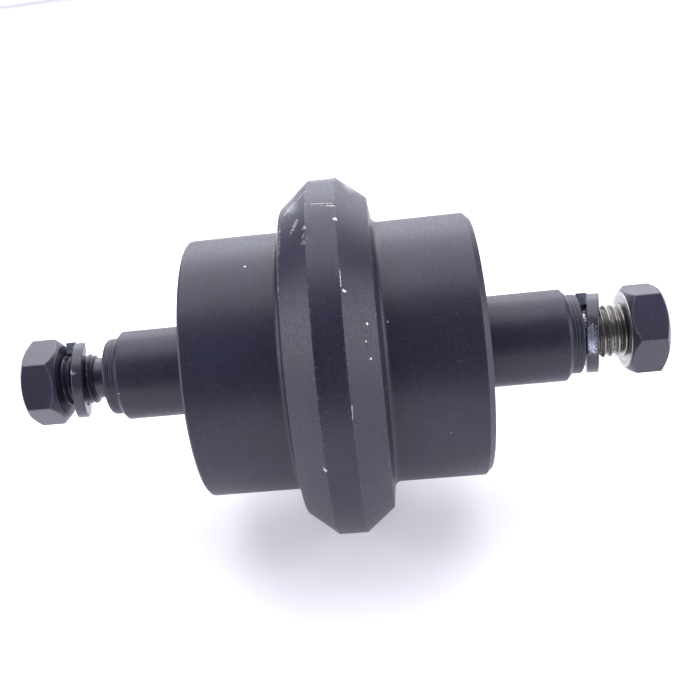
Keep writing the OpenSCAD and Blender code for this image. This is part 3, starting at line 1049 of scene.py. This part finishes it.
@dataclass
class HexBolt:
    """A hexagon bolt with a real helical thread that a waist interrupts.

    turn is the angle of one corner of the head, station the underside of the head, and phase the
    share of the pitch by which the thread is moved. waist holds where it starts and ends, from the
    head. overrun is how far the chamfers' cones run past the corners, and softness how gently they
    meet the flats.
    """

    side: Side
    turn: float
    station: float
    head_h: float = 13.8
    flats: float = 30.0
    top_r: float = 13.95
    top_slope: float = 30.0
    under_r: float = 14.49
    under_slope: float = 43.0
    overrun: float = 0.6
    softness: float = 0.3
    length: float = 40.0
    tip_chamfer: float = 1.8
    crest_r: float = 9.9
    root_r: float = 8.4
    pitch: float = 2.5
    phase: float = 0.0
    waist_r: float = 8.0
    waist: tuple[float, float] = (13.4, 19.4)
    washer_face_r: float = 14.2
    washer_face_h: float = 0.4
    thread_bare: float = 1.0
    face_bare: float = 0.62

    def hexagon(self, angle: np.ndarray) -> np.ndarray:
        """Radius of a hexagon with slightly rounded corners.

        It is a soft minimum, -log(sum of exp(-k r)) / k, over the six facets, each at
        half the width across flats divided by the cosine of the angle from its middle.

        Args:
            angle: angles about the shaft, in radians.

        Returns:
            One radius per angle.
        """
        middles = np.radians(self.turn + 30 + 60 * np.arange(6))
        cosine = np.cos(angle[..., None] - middles)
        r = np.where(cosine > 0.2, self.flats / 2 / np.maximum(cosine, 0.2), 99.0)
        k = 7.0
        return -np.log(np.exp(-k * (r - r.min(-1, keepdims=True))).sum(-1)) / k + r.min(-1)

    def head(self) -> Patch:
        """The head: each row is a circle of the chamfers' cone, cut back to the hexagon.

        Radius is the soft minimum of the cone's radius at that row and the hexagon's at that angle:
        b (1 - h) + a h - w h (1 - h), with h = 0.5 + (b - a) / (2 w) kept from 0 to 1.

        Returns:
            The head's surface, for the right side.
        """
        low, top = self.station, self.station + self.head_h
        under = low + self.washer_face_h
        corner_r = self.flats / math.sqrt(3)
        outer = corner_r + self.overrun
        cone_top = top - (outer - self.top_r) * math.tan(math.radians(self.top_slope))
        cone_under = under + (outer - self.under_r) * math.tan(math.radians(self.under_slope))
        line = np.array([(0, low), (self.washer_face_r, low), (self.washer_face_r, under),
                         (self.under_r, under), (outer, cone_under), (outer, cone_top),
                         (self.top_r, top), (0, top)])
        line = round_corners(line, np.array([0, 0.12, 0.1, 0.2, 0, 0, 0.5, 0]))
        fine, coarse, fine_from = 0.22, 1.5, 14.0
        line = divide(line, lambda p: np.where(p[:, 0] > fine_from, fine, coarse))
        angle = np.linspace(0, 2 * np.pi, 361)
        a, b, width = line[:, :1], self.hexagon(angle)[None], self.softness
        h = np.clip(0.5 + (b - a) / (2 * width), 0, 1)
        # rows inside this radius lie within the hexagon and stay plain circles
        cut_from = 14.5
        r = np.where(a < cut_from, a, b * (1 - h) + a * h - width * h * (1 - h))
        y = line[:, 1:] + 0 * angle
        grid = np.stack([r * np.sin(angle), y, r * np.cos(angle)], 2)
        on_face = (y < under + 0.02) & (r < self.washer_face_r + 0.3)
        edge = np.exp(-(np.abs(b - a) / 0.5) ** 2) * (a > cut_from)
        corner = np.exp(-((corner_r - b) / 0.18) ** 2) * (a > b)
        return Patch(grid, {Mark.BARE: np.where(on_face, self.face_bare, 0.0),
                            Mark.EDGE: np.maximum(edge, corner)})

    def shank(self) -> Patch:
        """The shank: rows follow the thread's helix, so that its crests stay crisp.

        The station of a point is its row's own plus pitch times angle / 360. The thread's radius is
        a flat-topped triangle wave of the row's phase, and the tip's cone and the waist limit it.

        Returns:
            The shank's surface, for the right side.
        """
        tip, root = self.station - self.length, self.station + 0.6
        per_turn = 14
        count = int((root - tip) / self.pitch * per_turn) + 3 * per_turn
        row = (np.arange(count) - 1.5 * per_turn) / per_turn * self.pitch + tip
        angle = np.linspace(0, 2 * np.pi, 121)
        y = row[:, None] + self.pitch * angle[None] / (2 * np.pi)
        share = (row / self.pitch - self.phase) % 1.0
        wave = np.clip(1.32 * np.abs(2 * share - 1) - 0.12, 0, 1)
        thread = (self.root_r + (self.crest_r - self.root_r) * wave)[:, None]
        y = np.clip(y, tip, root)
        out, inn = self.station - self.waist[0], self.station - self.waist[1]
        limit = np.interp(
            y, [tip, tip + self.tip_chamfer, inn - 1.2, inn + 0.2, out - 0.2, out + 1.2],
            [self.crest_r - self.tip_chamfer, self.crest_r, self.crest_r, self.waist_r,
             self.waist_r, self.crest_r])
        r = np.minimum(thread, limit)
        sense = self.side.value
        grid = np.stack([r * np.sin(sense * angle[None]), y, r * np.cos(sense * angle[None])], 2)
        caps = [np.stack([0 * g[:, 0], g[:, 1], 0 * g[:, 2]], 1)[None] for g in (grid[0], grid[-1])]
        grid = np.concatenate([caps[0], grid, caps[1]])
        crest = np.clip((np.hypot(grid[..., 0], grid[..., 2]) - self.root_r)
                        / (self.crest_r - self.root_r), 0, 1)
        bare = self.thread_bare * (0.55 + 0.45 * crest)
        # painted shade in the thread's roots, fading to none at the crests
        return Patch(grid, {Mark.BARE: bare, Mark.GRIME: (1 - crest) * 0.8})

    def make(self, finish: bpy.types.Material) -> bpy.types.Object:
        """Builds head and shank on this bolt's side.

        Args:
            finish: its steel.

        Returns:
            The finished object.
        """
        patches = [self.head(), self.shank()]
        for patch in patches:
            patch.points = patch.points * [1, self.side.value, 1]
        word = self.side.word
        return build("hex_bolt_" + word, patches, finish, "bolt_" + word,
                     ["bolt_" + word])


@dataclass
class LockWasher:
    """A split spring washer: a rectangular bar coiled into one left-hand turn.

    station is the coil's middle. bar holds the bar's wall and thickness, and rounds the roundings
    of its outer and inner edges. gap is the split's angle and rise how far apart its ends are.
    """

    side: Side
    body: str
    station: float
    lean: float
    turn: float = -23.0
    bar: tuple[float, float] = (4.4, 4.2)
    rounds: tuple[float, float] = (0.45, 0.3)
    outer_r: float = 15.2
    rise: float = 4.2
    gap: float = 14.0
    steps: int = 160

    def make(self, finish: bpy.types.Material) -> bpy.types.Object:
        """Carries the bar's rounded section along the coil and closes its two cut ends.

        At a share s of the coil the angle is gap / 2 + s (360 - gap), and the bar's middle stands
        rise (0.5 - s) along the shaft. The coil then leans about the vertical and turns about the
        shaft.

        Args:
            finish: its steel.

        Returns:
            The finished object.
        """
        wall, thick = self.bar
        box = np.array([(0, -thick / 2), (-wall, -thick / 2), (-wall, thick / 2), (0, thick / 2)])
        ring = np.vstack([(0.0, 0.0), box, (0.0, 0.0)])
        outer, inner = self.rounds
        ring = round_corners(ring, np.array([0, outer, inner, inner, outer, 0]), 4)
        ring = divide(ring, lambda p: np.full(len(p), 0.9))
        s = np.linspace(0, 1, self.steps + 1)
        angle = np.radians(self.gap / 2 + s * (360 - self.gap))[:, None]
        r = self.outer_r + ring[None, :, 0]
        y = self.rise * (0.5 - s)[:, None] + ring[None, :, 1]
        grid = np.stack([r * np.sin(angle), y, r * np.cos(angle)], 2)
        centre = grid.mean(1, keepdims=True)
        # bare steel at the cut ends, carried a little way round the coil as a painted highlight where the
        # near end shades it
        bare_and_glint_tips = np.exp(-(np.minimum(s, 1 - s) / 0.02) ** 2)[:, None] * 0.8
        patches = [Patch(grid, {Mark.BARE: bare_and_glint_tips})]
        share = np.linspace(0, 1, 6)[:, None, None]
        for end in (0, -1):
            cap = centre[end][None] * (1 - share) + grid[end][None] * share
            patches.append(Patch(cap, {Mark.BARE: np.full((len(share), 1), 0.9)}))
        lean = Matrix.Rotation(math.radians(self.lean), 3, "Z")
        stance = np.array(Matrix.Rotation(math.radians(self.turn), 3, "Y") @ lean)
        for patch in patches:
            patch.points = patch.points @ stance.T + [0, self.station, 0]
        word = self.side.word
        return build("lock_washer_" + word, patches, finish, self.body,
                     ["spring_washer_" + word])


# ---------------------------------------------------------------- the studio


@dataclass(frozen=True)
class Softbox:
    """A square area light. Places are in metres, power in watts."""

    name: str
    place: tuple[float, float, float]
    size: tuple[float, float]
    power: float
    colour: str = "ffffff"

    def make(self) -> None:
        """Hangs the light and points it at the part."""
        lamp = bpy.data.lights.new(self.name, "AREA")
        lamp.shape = "RECTANGLE"
        lamp.size, lamp.size_y = self.size
        lamp.energy = self.power
        lamp.color = linear(self.colour)[:3]
        holder = bpy.data.objects.new(self.name, lamp)
        holder.location = self.place
        holder.rotation_euler = (-Vector(self.place)).to_track_quat("-Z", "Y").to_euler()
        bpy.context.scene.collection.objects.link(holder)


@dataclass(frozen=True)
class Studio:
    """Pale floor, soft light and the camera.

    floor_z, floor_reach and floor_tooth are in metres. sky_power lights the part and backdrop_power
    is what the camera sees. camera_turn is in degrees.
    """

    floor_z: float = -0.0681
    floor_colour: str = "f4f4f6"
    floor_glow: float = 0.3
    floor_reach: float = 1.7
    floor_cells: int = 8
    floor_tooth: float = 1 / 900
    sky: str = "d4d8f2"
    sky_power: float = 0.24
    backdrop_power: float = 1.6
    camera_mm: tuple[float, float, float] = (313.98, 16.54, 181.28)
    camera_turn: tuple[float, float, float] = (60.441, 7.631, 92.633)
    lens: float = 47.84
    shift: tuple[float, float] = (0.0959, 0.0029)
    lights: tuple[Softbox, ...] = (
        Softbox("overhead", (-0.5, 0.0, 1.1), (1.7, 1.9), 28.0, "f5f5ff"),
        Softbox("back", (-1.4, 0.1, 0.55), (2.2, 1.0), 16.0, "f5f5ff"),
        Softbox("left", (0.3, -1.4, 0.5), (1.4, 0.9), 15.0, "f5f5ff"),
        Softbox("right", (0.3, 1.4, 0.5), (1.4, 0.9), 15.0, "f5f5ff"),
    )

    def floor(self) -> None:
        """Lays a wide flat floor under the flange."""
        cells = self.floor_cells
        line = np.linspace(-self.floor_reach, self.floor_reach, cells + 1)
        x, y = np.meshgrid(line, line, indexing="ij")
        grid = np.stack([x, y, np.full_like(x, self.floor_z)], 2).reshape(-1, 3)
        corner = (np.arange(cells)[:, None] * (cells + 1) + np.arange(cells)).ravel()
        faces = np.stack([corner, corner + cells + 1, corner + cells + 2, corner + 1], 1)
        mesh = bpy.data.meshes.new("floor")
        mesh.from_pydata(grid, [], faces.tolist())
        recipe = Recipe("opal_light_table")
        place = recipe.add("ShaderNodeTexCoord").outputs["Object"]
        rough = recipe.stretch(recipe.noise(place, self.floor_tooth, 2.0), 0.0, 1.0, 0.8, 0.95)
        white = linear(self.floor_colour)
        mesh.materials.append(recipe.finish(
            {"Base Color": white, "Emission Color": white, "Emission Strength": self.floor_glow},
            {"Roughness": rough}))
        board = bpy.data.objects.new("floor", mesh)
        bpy.context.scene.collection.objects.link(board)

    def make(self) -> None:
        """Sets up floor, sky, lights and camera."""
        self.floor()
        for light in self.lights:
            light.make()
        world = bpy.data.worlds.new("studio")
        world.use_nodes = True
        back = world.node_tree.nodes["Background"]
        back.inputs["Color"].default_value = linear(self.sky)
        # seen directly the surroundings are white, and they light the part more weakly
        sight = world.node_tree.nodes.new("ShaderNodeLightPath")
        power = world.node_tree.nodes.new("ShaderNodeMapRange")
        power.inputs[3].default_value = self.sky_power
        power.inputs[4].default_value = self.backdrop_power
        world.node_tree.links.new(sight.outputs["Is Camera Ray"], power.inputs[0])
        world.node_tree.links.new(power.outputs[0], back.inputs["Strength"])
        bpy.context.scene.world = world
        bpy.context.scene.view_settings.view_transform = "Standard"
        eye = bpy.data.cameras.new("camera")
        eye.sensor_width = 36.0
        eye.lens = self.lens
        eye.shift_x, eye.shift_y = self.shift
        eye.clip_start, eye.clip_end = 0.01, 30.0
        holder = bpy.data.objects.new("camera", eye)
        holder.location = Vector(self.camera_mm) * MM
        holder.rotation_euler = tuple(math.radians(v) for v in self.camera_turn)
        bpy.context.scene.collection.objects.link(holder)
        bpy.context.scene.camera = holder


# ---------------------------------------------------------------- this roller's own knocks and finishes

FLANGE_DINGS: tuple[Scuff, ...] = (
    Scuff(-19.0, -15.5, 60.5, 9.0, 9.0, depth=0.8),
    Scuff(-8.0, -15.0, 61.0, 6.0, 6.0, depth=0.5),
    Scuff(23.0, -5.2, 68.0, 1.6, 1.6, depth=0.3),
    Scuff(93.3, -5.6, 67.7, 1.5, 1.5, depth=0.3),
    Scuff(171.0, 5.2, 68.0, 2.5, 2.5, depth=0.4),
    Scuff(248.0, -14.0, 61.5, 4.0, 4.0, depth=0.5),
)
BODY_SCUFFS: tuple[Scuff, ...] = (
    Scuff(15.6, -9.2, 64.8, 2.8, 0.9, -26, 3.0),
    Scuff(19.6, -5.6, 67.7, 1.0, 0.6),
    Scuff(22.6, -5.8, 67.5, 0.9, 0.5),
    Scuff(25.3, -5.9, 67.5, 1.1, 0.75),
    Scuff(17.5, 5.2, 67.9, 0.75, 0.75, 25),
    Scuff(10.9, 3.4, 68.0, 2.6, 0.2, 75),
    Scuff(9.2, 0.6, 68.0, 4.4, 0.13, 82),
    Scuff(16.7, -15.8, 59.6, 7.5, 1.3, -2, 2.0),
    Scuff(29.0, -16.0, 59.0, 10.0, 0.55, 0, 2.0),
    Scuff(93.3, -5.6, 67.7, 0.8, 0.7),
    Scuff(38.0, 5.5, 67.8, 3.6, 0.12),
    Scuff(75.9, 5.4, 67.8, 2.6, 0.13, -3),
    Scuff(42.1, 6.4, 67.1, 0.55, 0.5),
    Scuff(51.2, 12.7, 62.1, 0.45, 0.3),
    Scuff(56.6, 11.8, 62.8, 0.35, 0.25),
    Scuff(61.7, 12.9, 61.9, 0.4, 0.4),
    Scuff(48.6, 19.5, 50.0, 0.35, 0.35),
    Scuff(73.3, 17.0, 53.5, 0.5, 0.45),
    Scuff(16.3, -28.6, 50.0, 0.5, 0.5),
    Scuff(0.5, -8.6, 65.3, 5.0, 0.35, -75, 4.5),
    Scuff(3.0, -12.3, 62.4, 2.6, 0.5, -80, 3.0),
    Scuff(-10.3, 0.8, 68.0, 5.0, 0.3, 84),
    Scuff(-13.0, 2.5, 68.0, 3.5, 0.35, 70),
    Scuff(171.0, 5.2, 68.0, 2.2, 0.8, 10),
    Scuff(205.0, -5.3, 67.8, 1.4, 0.6, -8),
    Scuff(248.0, -13.5, 61.5, 2.6, 0.9, 30, 2.5),
    Scuff(301.0, 5.3, 67.9, 3.5, 0.3, 4),
    Scuff(322.0, -5.3, 67.9, 1.1, 0.6),
)
BODY_RUBS: tuple[Scuff, ...] = (
    Scuff(-13.0, -9.5, 65.5, 18.0, 3.0, -12, 6.0),
    Scuff(-12.0, -13.5, 62.5, 16.0, 1.6, -10, 5.0),
    Scuff(2.0, -11.0, 64.0, 9.0, 3.0, 20, 5.0),
    Scuff(-18.0, 0.5, 68.0, 9.0, 5.0, 2, 3.0),
    Scuff(-14.0, 10.0, 64.5, 14.0, 3.5, 3, 4.0),
    Scuff(160.0, -9.0, 65.0, 15.0, 3.5, -5, 5.0),
    Scuff(225.0, 8.0, 66.0, 12.0, 4.0, 8, 5.0),
)

# sprayed paint over a forging: dark blue-grey, soft sheen, bright knocks on the flange's edges
BODY_PAINT = CoatedSteel("satin_paint_on_forged_steel", scuffs=BODY_SCUFFS, rubs=BODY_RUBS)
# the same paint over a finely turned bar: closer rings under it, and a few bright specks
SHAFT_PAINT = CoatedSteel("satin_paint_on_turned_steel", marks_pitch=0.6, speck_cell=12.0)
# the same paint over a casting: a coarser skin
COLLAR_PAINT = CoatedSteel("satin_paint_on_cast_iron", peel=0.5, relief=0.06)
# a hot oxide bath: greyer and a little glossier than the paint, with grey-bright thread and edges
BLACKENED = CoatedSteel("blackened_forged_steel", coat="302d40", coat_deep="272435",
                        coat_pale="413e4f", rub="66646e", steel="a9a6a2", steel_deep="56524f",
                        coat_roughness=0.34, coat_ior=1.6, peel=0.5, edge_wear=0.3,
                        speck_size=0.012, relief=0.03)
# the same bath on spring steel: bright cold-cut ends whose bare steel runs a little round the coil as a
# painted highlight, and rims scraped to a bluish white
BLACKENED_SPRING = CoatedSteel(
    "blackened_spring_steel", coat="302f3f", coat_deep="272633", coat_pale="434250",
    steel="c6cadb", steel_deep="8c8fa3", coat_roughness=0.3, coat_ior=1.6, peel=0.45,
    edge_wear=0.2, grain=3.4, steel_roughness=0.34,
    scuffs=(Scuff(71.0, 92.4, 15.2, 10.0, 1.7, 0, 1.5), Scuff(48.0, -102.6, 15.2, 1.6, 0.6, 60, 1.2),
            Scuff(70.0, -103.6, 15.2, 1.2, 0.5, 20, 1.2)))
# phosphate on spring steel: neutral dark grey, dull and fine-grained
PHOSPHATED = CoatedSteel("phosphated_spring_steel", coat="35353a", coat_deep="2c2c30",
                         coat_pale="4a4a50", coat_roughness=0.6, peel=0.3)
# machined bronze: warm yellow-brown with fine rings
BRONZE = MachinedMetal("bearing_bronze", "b58a4c", "8a6433", 0.36, 0.4)
# lapped iron: pale grey and almost mirror-smooth
LAPPED_IRON = MachinedMetal("lapped_white_iron", "a4a5a9", "7c7d82", 0.28, 0.25)
# bare steel that oil keeps from rusting: mid grey with soft rings
OILED_STEEL = MachinedMetal("oiled_steel", "85868b", "5b5c61", 0.36, 0.3)
# moulded rubber: nearly black and dull
NITRILE = MouldedRubber("nitrile_rubber")


def keep_solids(finishes: dict[str, bpy.types.Material]) -> None:
    """Gives every CAD node the material of its slot, and reports those that stay in view.

    Args:
        finishes: slot name to material.
    """
    for part in frame["record"]["subparts"]:
        node = frame["nodes"][part["node"]]
        node.data.materials.clear()
        node.data.materials.append(finishes[part["material_slot"]])
        if not node.hide_render:
            log.info("%s keeps its solid, in %s", part["node"], part["material_slot"])


def main() -> None:
    """Builds every sub-assembly in order, then the studio."""
    logging.basicConfig(level=logging.INFO, format="%(name)s: %(message)s", stream=sys.stdout)
    finishes = {
        "body_paint": BODY_PAINT.material(), "shaft_paint": SHAFT_PAINT.material(),
        "bush_bronze": BRONZE.material(), "collar_iron": COLLAR_PAINT.material(),
        "ring_steel": PHOSPHATED.material(), "seal_rubber": NITRILE.material(),
        "seal_metal": LAPPED_IRON.material(), "plug_steel": OILED_STEEL.material(),
        "bolt_black": BLACKENED.material(), "washer_black": BLACKENED_SPRING.material(),
    }
    RollerBody().make(finishes["body_paint"])
    ThroughShaft().make(finishes["shaft_paint"])
    for side in Side:
        fittings = EndFittings(side)
        fittings.bush(finishes["bush_bronze"])
        fittings.collar(finishes["collar_iron"])
        for way in (1, -1):
            fittings.seal_ring(finishes["seal_metal"], way)
    HexBolt(Side.LEFT, 36.0, 109.9, phase=0.567, thread_bare=0.35,
            face_bare=0.3).make(finishes["bolt_black"])
    HexBolt(Side.RIGHT, 16.0, 106.8, phase=0.233).make(finishes["bolt_black"])
    LockWasher(Side.LEFT, "bolt_left", -104.224, 8.0).make(finishes["washer_black"])
    LockWasher(Side.RIGHT, "washer_right", 94.995, -12.0).make(finishes["washer_black"])
    keep_solids(finishes)
    Studio().make()


if __name__ == "__main__":
    main()
